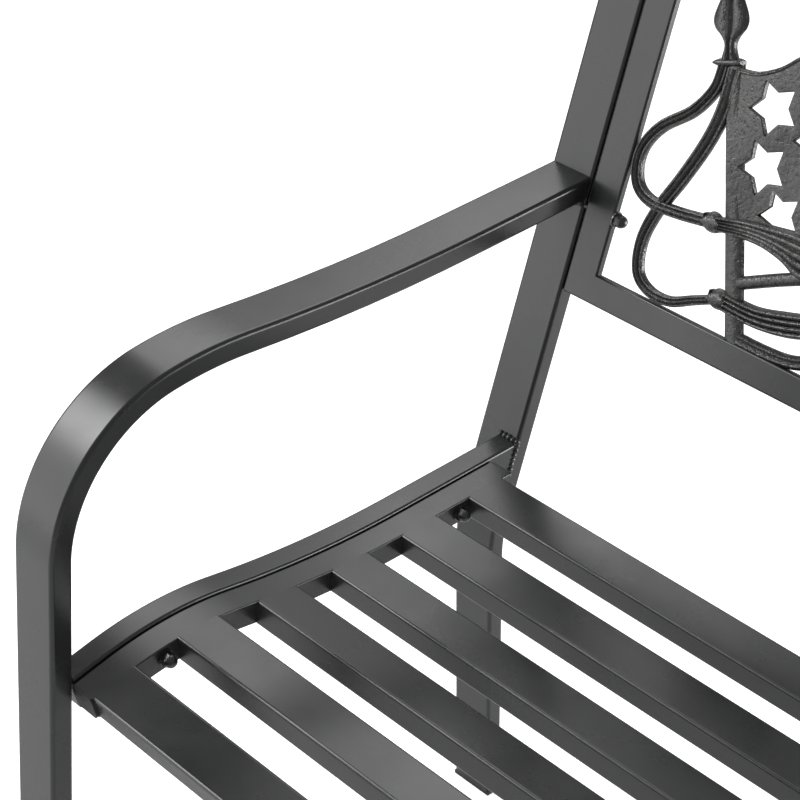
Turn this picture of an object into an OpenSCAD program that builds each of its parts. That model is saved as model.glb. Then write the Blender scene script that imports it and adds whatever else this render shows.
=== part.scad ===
// Free-standing metal garden bench with bent tube arms, a slatted seat and a cast ornament in its back.
// Millimetres. X runs along the bench, +Y is behind it, +Z is up. The origin is on the floor, at the
// centre of the bench's footprint box.

/* [Overall size] */
// Width over the two arm frames
bench_w = 1270; // [1000:10:1500]
// Height of the seat's highest line
seat_h = 404; // [380:1:430]
// Distance up the reclined back from the floor line to the crown of the top rail
crown_v = 915; // [900:1:930]

/* [Arm frames] */
// Width of the arm and post tube, along the bench
tube_w = 45; // [40:1:50]
// Thickness of the arm tube
arm_t = 20; // [18:1:22]
// Thickness of the rear post tube
post_t = 18; // [16:1:20]
// Wall of every tube
wall = 1; // [0.8:0.1:1.5]
// Outer corner radius of the arm and post tubes
tube_r = 3.5; // [2.5:0.1:4]
// Straight length of the front leg up to its bend
leg_straight = 489; // [470:1:495]
// Backward lean of the upper post, in degrees
recline = 13.1; // [12:0.1:14]
// Backward splay of the rear leg, in degrees
splay = 7.1; // [5:0.1:8]
// Distance of the post's front plane behind the front leg, carried down to the floor
post_y = 403.2; // [395:0.1:410]
// Distance of the rear foot's front face behind the front leg
rear_foot_y = 516.8; // [510:0.1:525]
// Length of the post, up its lean, from the floor line to its top cap
post_top_v = 868; // [850:1:875]
// Width of the rail that joins leg and post
side_rail_w = 22; // [20:1:24]
// Height of the rail that joins leg and post
side_rail_h = 32; // [25:1:36]

/* [Seat] */
// Number of slats
slat_n = 6; // [6:1:6]
// Width of a slat
slat_w = 42; // [38:0.5:45]
// Height of a slat and of the seat's side rails
slat_h = 21; // [18:0.5:22]
// Distance from one slat's front edge to the next
slat_pitch = 79.4; // [76:0.1:81]
// Width of the seat's side rail
seat_rail_w = 24; // [20:1:26]
// Gap between the seat and each arm frame
seat_gap = 1.5; // [1:0.1:3]
// Distance of the seat's front edge behind the front leg's front face
seat_front_y = 19; // [16:1:24]

/* [Back frame] */
// Width of a stile
stile_w = 30; // [28:1:36]
// Height of the bottom and top rails
back_rail_h = 26; // [25:1:32]
// Depth of the back frame's tube
back_t = 8; // [8:0.5:12]
// Distance up the back to the underside of the bottom rail
back_low_v = 568; // [560:1:575]
// Rise of the arched top rail from its ends to its crown
arch_rise = 28; // [20:1:30]
// Gap between a stile and its post
stile_gap = 1.8; // [1:0.1:3]

/* [Casting] */
// Thickness of the cast ornament
cast_t = 7; // [6:0.5:8]
// Width of a flag pole
pole_w = 18; // [13:0.5:20]
// Lean of a flag pole away from the middle, in degrees
pole_lean = 19.7; // [19:0.1:20.5]
// Width of a flag cord
cord_w = 11; // [9:0.5:12]
// Centre to tip of a star cut-out
star_r = 22.5; // [20:0.5:23]

/* [Fasteners and feet] */
// Bolt diameter
bolt_d = 6; // [5:0.5:6]
// Diameter of a cap nut across its corners
nut_d = 12; // [11:0.5:13]
// Visible height of a foot cap
foot_h = 4; // [3:0.5:6]

/* [Hidden] */

// Powder-coated tube, castings, plastic and zinc-free hardware share a charcoal colour family
tube_colour = [0.17, 0.18, 0.18];
cast_colour = [0.15, 0.15, 0.15];
plastic_colour = [0.06, 0.06, 0.06];
bolt_colour = [0.22, 0.22, 0.22];

// Half the distance between the arm frames' inner faces
inner_x = bench_w / 2 - tube_w;
bench_d = post_y + crown_v * sin(recline) + back_t * cos(recline);
front_y = -bench_d / 2;

// Arm centre line: bends with radius and angle, front to back
arm_bends = [[125, 78], [320, 13], [2050, -6.7]];
arm_over = 160;

// Knee between the splayed leg and the reclined post, on the tube's centre line
leg_mid_y = rear_foot_y + post_t / 2 / cos(splay);
post_mid_y = post_y + post_t / 2 / cos(recline);
knee_z = (leg_mid_y - post_mid_y) / (tan(splay) + tan(recline));
knee_r = 150;
knee_turn = splay + recline;
knee_tangent = knee_r * tan(knee_turn / 2);
leg_under = 30;

// Seat line along the top of the side rails: a front roll, a crest and a shallow dip
seat_rise = 16.5;
seat_straight = 30;
crest_r = 300;
crest_turn = 23;
dip_r = 1000;
dip_turn = 11;
seat_length = 447;
// Distance along the seat line at which a side rail's top meets the post, and its length before it is cut
post_meet_s = 491;
side_rail_length = 519;
crest_drop = crest_r * (1 - cos(seat_rise));
seat_front_z = seat_h - crest_drop - seat_straight * sin(seat_rise);
rear_rise = seat_rise - crest_turn + dip_turn;
crest_arc = crest_r * crest_turn * PI / 180;
dip_arc = dip_r * dip_turn * PI / 180;
rail_x = inner_x - seat_gap - seat_rail_w / 2;
slat_len = 2 * (inner_x - seat_gap - seat_rail_w);
slat_r = 2.5;
brace_w = 25;
brace_t = 3;

// Seat bolts stand in the first and last gaps between slats
seat_bolt_s = [68, 68 + 4 * slat_pitch];
seat_bolt_drop = slat_h / 2;

// Back frame corners, measured across (x) and up the lean (v)
frame_x = inner_x - stile_gap;
open_x = frame_x - stile_w;
open_low_v = back_low_v + back_rail_h;
arch_r = (pow(frame_x, 2) + pow(arch_rise, 2)) / (2 * arch_rise);
arch_mid_v = crown_v - arch_r;
frame_top_v = crown_v - arch_rise;
function arch_under(x) = arch_mid_v + sqrt(pow(arch_r - back_rail_h, 2) - x * x);
open_top_v = arch_under(open_x);
back_bolt_v = [open_low_v + 50, frame_top_v - 37];
// Depth of the casting's face behind the back frame's front plane
cast_in = (back_t - cast_t) / 2;

// Bolt hardware
bolt_clear = 0.2;
washer_t = 1.2;
washer_d = 14;
nut_h = 5;
head_h = 3;
nut_dome_r = nut_d / 2 - 0.6;

// ---- 2-D helpers -----------------------------------------------------------------------------

module rounded_rect(w, t, r) {
    square([w - 2 * r, t], center = true);
    square([w, t - 2 * r], center = true);
    for (sx = [-1, 1], sy = [-1, 1])
        translate([sx * (w / 2 - r), sy * (t / 2 - r)])
            circle(r, $fn = 24);
}

module tube_section(w, t, r, hollow = true) {
    difference() {
        rounded_rect(w, t, r);
        if (hollow)
            rounded_rect(w - 2 * wall, t - 2 * wall, r - wall);
    }
}

// Points of a Catmull-Rom curve through the control points p
function spline_point(a, b, c, d, u) =
    0.5 * (2 * b + (c - a) * u + (2 * a - 5 * b + 4 * c - d) * u * u + (3 * b - a - 3 * c + d) * u * u * u);
function spline(p, steps = 5) = let (n = len(p)) concat(
    [for (i = [0 : n - 2], k = [0 : steps - 1])
        spline_point(p[max(i - 1, 0)], p[i], p[i + 1], p[min(i + 2, n - 1)], k / steps)],
    [p[n - 1]]);

// Unit normal of a polyline at point i
function normal_at(p, i) =
    let (d = p[min(i + 1, len(p) - 1)] - p[max(i - 1, 0)]) [-d[1], d[0]] / norm(d);

// A flat strip of even or tapering width along a polyline
module ribbon(p, w0, w1) {
    n = len(p);
    half = [for (i = [0 : n - 1]) (w0 + (w1 - w0) * i / (n - 1)) / 2];
    polygon(concat(
        [for (i = [0 : n - 1]) p[i] + normal_at(p, i) * half[i]],
        [for (i = [n - 1 : -1 : 0]) p[i] - normal_at(p, i) * half[i]]));
}

// Five-pointed star with one point down
star_waist = 0.57;
module star(r) {
    polygon([for (i = [0 : 9])
        let (q = i % 2 == 0 ? r : star_waist * r)
            [q * sin(36 * i), -q * cos(36 * i)]]);
}

// ---- 3-D helpers -----------------------------------------------------------------------------

// Point of a bend that starts at p with heading h, at the share u of its turn. A positive turn is
// clockwise, with the heading measured from +Y towards +Z.
function bend_point(p, h, radius, turn, u) =
    let (side = sign(turn))
        p + side * radius * ([sin(h), -cos(h)] - [sin(h - turn * u), -cos(h - turn * u)]);

// Centre line through straight runs [length, 0] and bends [radius, turn]
function path_points(p, h, segments, i = 0) =
    i == len(segments) ? [p] :
    let (size = segments[i][0], turn = segments[i][1], n = max(6, ceil(abs(turn) / 4)))
        turn == 0
            ? concat([p], path_points(p + size * [cos(h), sin(h)], h, segments, i + 1))
            : concat([for (k = [0 : n - 1]) bend_point(p, h, size, turn, k / n)],
                     path_points(bend_point(p, h, size, turn, 1), h - turn, segments, i + 1));

// Solid bar of width w along X and thickness t, along a path in Y and Z. Both ends grow by extra.
module side_bar(start, heading, segments, w, t, extra = 0) {
    last = len(segments) - 1;
    grown = [for (i = [0 : last])
        segments[i] + [(i == 0 ? extra : 0) + (i == last ? extra : 0), 0]];
    translate([-w / 2, front_y, 0])
        rotate([90, 0, 90])
            linear_extrude(w)
                ribbon(path_points(start - extra * [cos(heading), sin(heading)], heading, grown), t, t);
}

module side_tube(start, heading, segments, w, t) {
    difference() {
        side_bar(start, heading, segments, w, t);
        side_bar(start, heading, segments, w - 2 * wall, t - 2 * wall, 1);
    }
}

// Puts its children on the left side, and their mirror image on the right
module on_side(right = false) {
    mirror([right ? 1 : 0, 0, 0])
        children();
}

module both_sides() {
    children();
    mirror([1, 0, 0])
        children();
}

// The reclined plane of the back: X across, Z up the lean, Y into its thickness
module back_plane() {
    translate([0, front_y + post_y, 0])
        rotate([-recline, 0, 0])
            children();
}

// Turns a flat outline in x and v into a plate in the back plane, from depth y0 to y1
module back_plate(y0, y1) {
    translate([0, y1, 0])
        rotate([90, 0, 0])
            linear_extrude(y1 - y0)
                children();
}

// Height above the floor line of the seat's top at distance s along it, and its slope
function seat_slope(s) =
    s < seat_straight ? seat_rise :
    s < seat_straight + crest_arc ? seat_rise - (s - seat_straight) / crest_r * 180 / PI :
    s < seat_straight + crest_arc + dip_arc
        ? seat_rise - crest_turn + (s - seat_straight - crest_arc) / dip_r * 180 / PI :
    rear_rise;
seat_step = 2;
function seat_point(s, p = [seat_front_y, seat_front_z], at = 0) =
    at >= s ? p :
    let (d = min(seat_step, s - at), a = seat_slope(at + d / 2))
        seat_point(s, p + d * [cos(a), sin(a)], at + d);

// Puts its children at distance s along the seat line, with +Y along it and +Z out of the seat
module on_seat_line(s) {
    p = seat_point(s);
    translate([0, front_y + p[0], p[1]])
        rotate([seat_slope(s), 0, 0])
            children();
}

// A tube that follows the seat line, with its top face on the line
module seat_line_tube(length, w, t) {
    start = [seat_front_y, seat_front_z] + t / 2 * [sin(seat_rise), -cos(seat_rise)];
    side_tube(start, seat_rise, [[seat_straight, 0], [crest_r - t / 2, crest_turn],
                                 [dip_r + t / 2, -dip_turn],
                                 [length - seat_straight - crest_arc - dip_arc, 0]], w, t);
}

// A cylinder along +X
module rod_x(r, length) {
    rotate([0, 90, 0])
        cylinder(r = r, h = length, $fn = 32);
}

module seat_bolt_places() {
    for (s = seat_bolt_s)
        on_seat_line(s)
            translate([0, 0, -seat_bolt_drop])
                children();
}

module back_bolt_places() {
    back_plane()
        for (v = back_bolt_v)
            translate([0, back_t / 2, v])
                children();
}

module seat_bolt_holes() {
    seat_bolt_places()
        translate([-bench_w / 2, 0, 0])
            rod_x(bolt_d / 2 + bolt_clear, 2 * tube_w + seat_rail_w);
}

module back_bolt_holes() {
    back_bolt_places()
        translate([-bench_w / 2 - 1, 0, 0])
            rod_x(bolt_d / 2 + bolt_clear, tube_w + stile_gap + stile_w + 2);
}

// ---- Arm frames ------------------------------------------------------------------------------

module arm_path() {
    translate([-inner_x - tube_w / 2, 0, 0])
        side_tube([arm_t / 2, foot_h], 90, concat([[leg_straight - foot_h, 0]], arm_bends, [[arm_over, 0]]),
                  tube_w, arm_t);
}

module behind_post_front() {
    back_plane()
        translate([-bench_w, 0, seat_h])
            cube([bench_w, 200, 400]);
}

module arm_tube(right = false) {
    color(tube_colour)
        on_side(right)
            difference() {
                arm_path();
                behind_post_front();
            }
}

post_start = [leg_mid_y + leg_under * tan(splay), -leg_under];
post_segments = [[(leg_under + knee_z) / cos(splay) - knee_tangent, 0], [knee_r, knee_turn],
                 [post_top_v - knee_z / cos(recline) - knee_tangent, 0]];

module below(z) {
    translate([-bench_w, -bench_d, z - 100])
        cube([2 * bench_w, 2 * bench_d, 100]);
}

module rear_post(right = false) {
    color(tube_colour)
        on_side(right)
            difference() {
                translate([-inner_x - tube_w / 2, 0, 0])
                    side_tube(post_start, 90 + splay, post_segments, tube_w, post_t);
                below(foot_h);
                back_bolt_holes();
            }
}

module side_rail(right = false) {
    color(tube_colour)
        on_side(right)
            difference() {
                translate([-inner_x - side_rail_w / 2, 0, 0])
                    seat_line_tube(side_rail_length, side_rail_w, side_rail_h);
                translate([-bench_w, front_y, 0])
                    cube([bench_w, arm_t, seat_h]);
                back_plane()
                    translate([-bench_w, 0, 0])
                        cube([bench_w, 200, 600]);
                seat_bolt_holes();
            }
}

// ---- Seat ------------------------------------------------------------------------------------

module seat_rail(right = false) {
    color(tube_colour)
        on_side(right)
            difference() {
                translate([-rail_x, 0, 0])
                    seat_line_tube(seat_length, seat_rail_w, slat_h);
                seat_bolt_holes();
            }
}

// Distance along the seat line to the middle of slat i, counted from 0
function slat_s(i) = slat_w / 2 + i * slat_pitch;

module seat_slat(i) {
    color(tube_colour)
        on_seat_line(slat_s(i))
            translate([-slat_len / 2, 0, -slat_h / 2])
                rotate([90, 0, 90])
                    linear_extrude(slat_len)
                        tube_section(slat_w, slat_h, slat_r);
}

// Flat bar that follows the seat line under the middle of the slats
brace_gap = 0.2;
brace_runs = 24;
module seat_brace() {
    first = slat_s(0) - slat_w / 3;
    reach = slat_s(slat_n - 1) + slat_w / 3 - first;
    line = [for (k = [0 : brace_runs])
        let (s = first + reach * k / brace_runs, a = seat_slope(s))
            seat_point(s) + (slat_h + brace_gap + brace_t / 2) * [sin(a), -cos(a)]];
    color(tube_colour)
        translate([-brace_w / 2, front_y, 0])
            rotate([90, 0, 90])
                linear_extrude(brace_w)
                    ribbon(line, brace_t, brace_t);
}

// ---- Back frame ------------------------------------------------------------------------------

module back_stile(right = false) {
    color(tube_colour)
        on_side(right)
            difference() {
                back_plane()
                    intersection() {
                        translate([-frame_x + stile_w / 2, back_t / 2, back_low_v])
                            linear_extrude(frame_top_v - back_low_v)
                                tube_section(stile_w, back_t, 2);
                        back_plate(-1, back_t + 1)
                            polygon([[-frame_x, back_low_v], [-open_x, open_low_v],
                                     [-open_x, open_top_v], [-frame_x, frame_top_v]]);
                    }
                back_bolt_holes();
            }
}

module back_bottom_rail() {
    color(tube_colour)
        back_plane()
            intersection() {
                translate([-frame_x, back_t / 2, back_low_v + back_rail_h / 2])
                    rotate([90, 0, 90])
                        linear_extrude(2 * frame_x)
                            tube_section(back_t, back_rail_h, 2);
                back_plate(-1, back_t + 1)
                    polygon([[-frame_x, back_low_v], [frame_x, back_low_v],
                             [open_x, open_low_v], [-open_x, open_low_v]]);
            }
}

// Points of the arch at radius r, from left to right, a little past both mitres
arch_runs = 48;
function arch_points(r) =
    [for (k = [0 : arch_runs])
        let (x = (frame_x + 5) * (2 * k / arch_runs - 1))
            [x, arch_mid_v + sqrt(r * r - x * x)]];

// Band of the arch, narrowed by inset along both edges
module arch_band(inset) {
    low = arch_points(arch_r - back_rail_h + inset);
    polygon(concat(arch_points(arch_r - inset), [for (k = [arch_runs : -1 : 0]) low[k]]));
}

module back_top_rail() {
    color(tube_colour)
        back_plane()
            intersection() {
                difference() {
                    back_plate(0, back_t)
                        arch_band(0);
                    back_plate(wall, back_t - wall)
                        arch_band(wall);
                }
                back_plate(-1, back_t + 1)
                    polygon([[-frame_x, frame_top_v], [-open_x, open_top_v], [0, open_top_v],
                             [open_x, open_top_v], [frame_x, frame_top_v],
                             [frame_x, crown_v + 5], [-frame_x, crown_v + 5]]);
            }
}

// ---- Cast ornament ---------------------------------------------------------------------------
// Flag outlines are drawn from the left arm frame's inner face: a across, v up the lean.

// Point on the pole's centre line at height v
pole_foot = [175, open_low_v];
function on_pole(v) = [pole_foot[0] - (v - pole_foot[1]) * tan(pole_lean), v];
collar_at = [96, 801];
leaf_root = [92, 812];
leaf_lean = 17;
leaf_reach = (arch_under(inner_x - 75) - leaf_root[1]) / cos(leaf_lean);

// Half outline of the spear leaf from its neck to its tip: out from the axis, then along it
leaf_half = [[8, -9], [5, 1], [8, 8], [15.5, 16], [16.5, 25], [10, 40], [4, leaf_reach - 3]];

module spear_leaf() {
    side = spline(leaf_half, 4);
    n = len(side);
    translate(leaf_root)
        rotate(leaf_lean)
            polygon(concat(side, [[0, leaf_reach + 0.5]],
                           [for (i = [n - 1 : -1 : 0]) [-side[i][0], side[i][1]]]));
}

module collar() {
    translate(collar_at)
        rotate(leaf_lean)
            rounded_rect(23, 7, 2.5);
}

// Two cords hang from the collar, loop towards the stile and end in tassels over the pole
outer_cord = [[92, 798], [90, 777], [76, 754], [52, 733], [40, 714], [38, 696], [45, 679], [62, 671],
              [90, 672], [124, 677]];
inner_cord = [[103, 798], [103, 765], [97, 735], [84, 700], [70, 668], [63, 638], [68, 612], [84, 601],
              [106, 601], [128, 611], [150, 621]];
// Width of the inner cord where it leaves the collar, and at its knot
inner_cord_w = [15, 8];
outer_knot = [124, 677];
inner_knot = [150, 621];

module tassel_knot(p, r) {
    translate(p)
        circle(r, $fn = 24);
}

// A tassel's skirt: left, top edge and bottom edge
module outer_skirt() {
    polygon(concat(spline([[128, 683], [150, 689], [178, 694], [208, 698], [236, 694]], 4),
                   spline([[240, 668], [216, 665], [196, 673], [170, 677], [128, 672]], 4)));
}

module inner_skirt() {
    polygon(concat(spline([[154, 629], [185, 629], [214, 636], [244, 645]], 4),
                   spline([[250, 628], [222, 618], [190, 613], [154, 614]], 4)));
}

// Star field beside the pole, with five-pointed cut-outs
star_places = [[148, 781], [154, 734], [181, 704], [194, 770], [222, 733], [241, 779], [268, 742],
               [250, 698]];
flag_top = [[104, 800], [124, 803], [143, 813], [160, 828], [178, 834], [215, 824], [262, 808], [310, 822],
            [360, 838], [410, 826], [455, 806], [500, 812]];
field_end = 300;
// Depth of the star field and size of the stripes
field_drop = 128;
stripe_h = 11;
stripe_pitch = 28;
stripe_n = 5;
low_stripe_root = [163, 644];
low_stripe_rise = [[204, 660], [252, 669]];

module star_field() {
    top = spline([for (p = flag_top) if (p[0] <= 310) p], 5);
    difference() {
        polygon(concat([for (p = top) if (p[0] < field_end) p],
                       [[field_end, 700], [250, 667], [196, 672], on_pole(660), [on_pole(700)[0] - 7, 700],
                        [on_pole(760)[0] - 7, 760]]));
        for (p = star_places)
            translate(p)
                star(star_r);
    }
}

// Stripe k follows the flag's top edge, lower by k pitches. The lowest leaves the pole below the field.
module stripe(k) {
    drop = k * stripe_pitch + stripe_h / 2;
    beside_stars = drop < field_drop;
    line = [for (p = flag_top) if (p[0] > (beside_stars ? 230 : 300)) p - [0, drop]];
    ribbon(spline(beside_stars ? line : concat([low_stripe_root], low_stripe_rise, line), 4),
           stripe_h, stripe_h);
}

module fly_end() {
    ribbon(spline([[500, 819], [507, 770], [497, 730], [503, 680], [500, 645]], 4), 10, 10);
}

// A low scroll ties the pole and the fly end to the bottom rail
scroll_line = [[178, 600], [205, 601], [232, 604], [262, 616], [300, 622], [345, 612], [395, 599],
               [450, 612], [500, 650]];
scroll_w = 12;

module flag_plate() {
    back_plate(cast_in, cast_in + cast_t)
        translate([-inner_x, 0])
            children();
}

module flag_pieces() {
    flag_plate() spear_leaf();
    flag_plate() ribbon([on_pole(pole_foot[1] - 1), on_pole(collar_at[1])], pole_w, pole_w);
    flag_plate() collar();
    flag_plate() ribbon(spline(outer_cord, 5), cord_w, cord_w);
    flag_plate() ribbon(spline(inner_cord, 5), inner_cord_w[0], inner_cord_w[1]);
    flag_plate() tassel_knot(outer_knot, 9);
    flag_plate() tassel_knot(inner_knot, 9);
    flag_plate() outer_skirt();
    flag_plate() inner_skirt();
    flag_plate() star_field();
    for (k = [0 : stripe_n])
        flag_plate() stripe(k);
    flag_plate() fly_end();
    flag_plate() ribbon(spline(scroll_line, 5), scroll_w, scroll_w);
}

module flag_panel(right = false) {
    color(cast_colour)
        on_side(right)
            back_plane()
                intersection() {
                    union()
                        flag_pieces();
                    back_plate(0, back_t)
                        polygon([[-open_x, open_low_v], [0, open_low_v], [0, crown_v], [-open_x, crown_v]]);
                }
}

// A star in a ring stands between the two flags
medallion_v = 728;
medallion_r = 82;
medallion_rim = 12;
medallion_posts = [-30, 30];

module medallion_plate() {
    back_plane()
        back_plate(cast_in, cast_in + cast_t)
            children();
}

module centre_medallion() {
    color(cast_colour) {
        medallion_plate()
            translate([0, medallion_v])
                difference() {
                    circle(medallion_r, $fn = 96);
                    circle(medallion_r - medallion_rim, $fn = 96);
                }
        medallion_plate()
            translate([0, medallion_v])
                star(medallion_r - medallion_rim + 4);
        for (x = medallion_posts) {
            medallion_plate()
                ribbon([[x, open_low_v], [x, medallion_v - medallion_r + 14]], 12, 12);
            medallion_plate()
                ribbon([[x, medallion_v + medallion_r - 14], [x, arch_under(x)]], 12, 12);
        }
    }
}

// ---- Feet, caps and plugs --------------------------------------------------------------------

module foot_slab(z0, z1) {
    translate([-bench_w, -bench_d, z0])
        cube([2 * bench_w, 2 * bench_d, z1 - z0]);
}

plug_h = 18;
module front_foot_caps() {
    color(plastic_colour)
        both_sides()
            translate([-inner_x - tube_w / 2, front_y + arm_t / 2, 0]) {
                linear_extrude(foot_h)
                    rounded_rect(tube_w, arm_t, tube_r);
                linear_extrude(plug_h)
                    rounded_rect(tube_w - 2 * wall - 0.2, arm_t - 2 * wall - 0.2, tube_r - wall);
            }
}

module rear_foot_caps() {
    color(plastic_colour)
        both_sides() {
            intersection() {
                translate([-inner_x - tube_w / 2, 0, 0])
                    side_bar(post_start, 90 + splay, post_segments, tube_w, post_t);
                foot_slab(0, foot_h);
            }
            intersection() {
                translate([-inner_x - tube_w / 2, front_y + leg_mid_y, 0])
                    rotate([splay, 0, 0])
                        linear_extrude(plug_h)
                            rounded_rect(tube_w - 2 * wall - 0.2, post_t - 2 * wall - 0.6, tube_r - wall);
                foot_slab(foot_h / 2, 2 * plug_h);
            }
        }
}

module post_top_caps() {
    color(plastic_colour)
        both_sides()
            back_plane()
                translate([-inner_x - tube_w / 2, post_t / 2, post_top_v]) {
                    linear_extrude(3)
                        rounded_rect(tube_w, post_t, tube_r);
                    translate([0, 0, -15])
                        linear_extrude(16)
                            rounded_rect(tube_w - 2 * wall - 0.2, post_t - 2 * wall - 0.2, tube_r - wall);
                }
}

module rail_plug(s, out) {
    both_sides()
        on_seat_line(s)
            translate([-rail_x, 0, -slat_h / 2])
                rotate([out * 90, 0, 0]) {
                    linear_extrude(2.5)
                        rounded_rect(seat_rail_w, slat_h, 3);
                    translate([0, 0, -12])
                        linear_extrude(13)
                            rounded_rect(seat_rail_w - 2 * wall - 0.2, slat_h - 2 * wall - 0.2, 1.5);
                }
}

module seat_front_plugs() {
    color(plastic_colour)
        rail_plug(0, 1);
}

module seat_rear_plugs() {
    color(plastic_colour)
        rail_plug(seat_length, -1);
}

// ---- Fasteners -------------------------------------------------------------------------------

module bolt(grip) {
    translate([-head_h, 0, 0])
        rod_x(bolt_d, head_h);
    rod_x(bolt_d / 2, grip + washer_t + nut_h - 1);
}

module washer() {
    difference() {
        rod_x(washer_d / 2, washer_t);
        translate([-1, 0, 0])
            rod_x(bolt_d / 2 + bolt_clear, washer_t + 2);
    }
}

// Hexagonal foot with a dome, open towards the bolt
module cap_nut() {
    difference() {
        union() {
            rotate([0, 90, 0])
                cylinder(r = nut_d / 2, h = nut_h, $fn = 6);
            translate([nut_h, 0, 0])
                rotate([0, 90, 0])
                    rotate_extrude($fn = 32)
                        intersection() {
                            circle(nut_dome_r, $fn = 32);
                            square(nut_dome_r);
                        }
        }
        translate([-1, 0, 0])
            rod_x(bolt_d / 2, nut_h + 0.5);
    }
}

seat_grip_x = -inner_x - side_rail_w;
seat_grip = side_rail_w + seat_gap + seat_rail_w;
back_grip_x = -inner_x - tube_w;
back_grip = tube_w + stile_gap + stile_w;

module seat_bolts() {
    color(bolt_colour)
        both_sides()
            seat_bolt_places()
                translate([seat_grip_x, 0, 0])
                    bolt(seat_grip);
}

module seat_washers() {
    color(bolt_colour)
        both_sides()
            seat_bolt_places()
                translate([seat_grip_x + seat_grip, 0, 0])
                    washer();
}

module seat_cap_nuts() {
    color(bolt_colour)
        both_sides()
            seat_bolt_places()
                translate([seat_grip_x + seat_grip + washer_t, 0, 0])
                    cap_nut();
}

module back_bolts() {
    color(bolt_colour)
        both_sides()
            back_bolt_places()
                translate([back_grip_x, 0, 0])
                    bolt(back_grip);
}

module back_washers() {
    color(bolt_colour)
        both_sides()
            back_bolt_places()
                translate([back_grip_x + back_grip, 0, 0])
                    washer();
}

module back_cap_nuts() {
    color(bolt_colour)
        both_sides()
            back_bolt_places()
                translate([back_grip_x + back_grip + washer_t, 0, 0])
                    cap_nut();
}

// Pan-head screws behind the rails would not show; these hold the casting's lugs from below
module casting_screws() {
    color(bolt_colour)
        back_plane()
            for (x = [-inner_x + 290, -inner_x + 395, -30, 30, inner_x - 395, inner_x - 290])
                translate([x, back_t / 2, back_low_v - 2]) {
                    cylinder(r = 4, h = 2, $fn = 32);
                    cylinder(r = 1.9, h = 2.2, $fn = 32);
                }
}

// ---- Welds -----------------------------------------------------------------------------------

// Fillet along X in the corner between a level tube and an upright face behind it
module weld_fillet(x0, x1, size) {
    translate([x0, 0, 0])
        rotate([90, 0, 90])
            linear_extrude(x1 - x0)
                polygon([[0, 0], [-size, 0], [-size / 3, size / 3], [0, size]]);
}

weld_size = 3;
// Height up the lean at which the arm's top meets the post
arm_weld_v = 665.6;
module arm_welds() {
    color(tube_colour)
        both_sides()
            back_plane()
                translate([0, 0, arm_weld_v])
                    weld_fillet(-inner_x - tube_w + 4, -inner_x - 4, weld_size);
}

module side_rail_welds() {
    p = seat_point(post_meet_s);
    color(tube_colour)
        both_sides()
            translate([0, front_y + post_y + p[1] * tan(recline), p[1] + 0.4])
                weld_fillet(-inner_x - side_rail_w + 2, -inner_x - 2, weld_size);
}

arm_tube();  // arm_tube_left
arm_tube(true);  // arm_tube_right
rear_post();  // rear_post_left
rear_post(true);  // rear_post_right
side_rail();  // side_rail_left
side_rail(true);  // side_rail_right
seat_rail();  // seat_rail_left
seat_rail(true);  // seat_rail_right
seat_slat(0);  // seat_slat_1
seat_slat(1);  // seat_slat_2
seat_slat(2);  // seat_slat_3
seat_slat(3);  // seat_slat_4
seat_slat(4);  // seat_slat_5
seat_slat(5);  // seat_slat_6
seat_brace();
back_stile();  // back_stile_left
back_stile(true);  // back_stile_right
back_bottom_rail();
back_top_rail();
flag_panel();  // flag_panel_left
flag_panel(true);  // flag_panel_right
centre_medallion();
front_foot_caps();
rear_foot_caps();
post_top_caps();
seat_front_plugs();
seat_rear_plugs();
seat_bolts();
seat_washers();
seat_cap_nuts();
back_bolts();
back_washers();
back_cap_nuts();
casting_screws();
arm_welds();
side_rail_welds();
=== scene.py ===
"""Garden bench: bent tube arm frames, a slatted steel seat and a cast ornament in the back."""
import logging
import math
from dataclasses import dataclass, field
from enum import Enum
from typing import Sequence

import bmesh
import bpy
from bmesh.types import BMEdge, BMesh
from bpy.types import Material, Mesh, Node, NodeSocket, NodeTree, Object
from mathutils import Matrix, Vector


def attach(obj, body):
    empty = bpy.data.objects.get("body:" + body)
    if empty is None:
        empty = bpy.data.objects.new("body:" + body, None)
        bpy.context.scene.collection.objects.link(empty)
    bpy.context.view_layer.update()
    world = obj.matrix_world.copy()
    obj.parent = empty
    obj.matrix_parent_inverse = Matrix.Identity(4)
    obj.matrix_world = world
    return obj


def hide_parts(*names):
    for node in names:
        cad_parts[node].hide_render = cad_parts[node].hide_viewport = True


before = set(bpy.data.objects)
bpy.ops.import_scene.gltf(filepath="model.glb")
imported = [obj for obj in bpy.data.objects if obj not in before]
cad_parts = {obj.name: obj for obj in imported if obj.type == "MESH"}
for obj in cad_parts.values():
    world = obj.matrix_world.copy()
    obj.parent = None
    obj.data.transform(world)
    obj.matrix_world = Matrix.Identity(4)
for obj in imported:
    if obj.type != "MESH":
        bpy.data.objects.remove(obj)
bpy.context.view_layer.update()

LOG = logging.getLogger("bench")
MM = 0.001
BODY = "root"
SHARP_ANGLE = math.radians(38)
Point = tuple[float, float]
Triple = tuple[float, float, float]
Sockets = dict[str, NodeSocket]


class Side(Enum):
    """Which end of the bench a piece belongs to."""

    LEFT = -1
    RIGHT = 1

    @property
    def word(self) -> str:
        """The word that piece names end in."""
        return self.name.lower()


class Slot(Enum):
    """Finish slots of the record."""

    COAT = "powder_coat"
    CAST = "casting"
    PLASTIC = "plastic_caps"
    HARDWARE = "hardware"


# ---- Lines of the bench ----


def heading(angle: float) -> Vector:
    """Unit direction in the side plane, from +Y towards +Z, for an angle in degrees."""
    return Vector((math.cos(math.radians(angle)), math.sin(math.radians(angle))))


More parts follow.
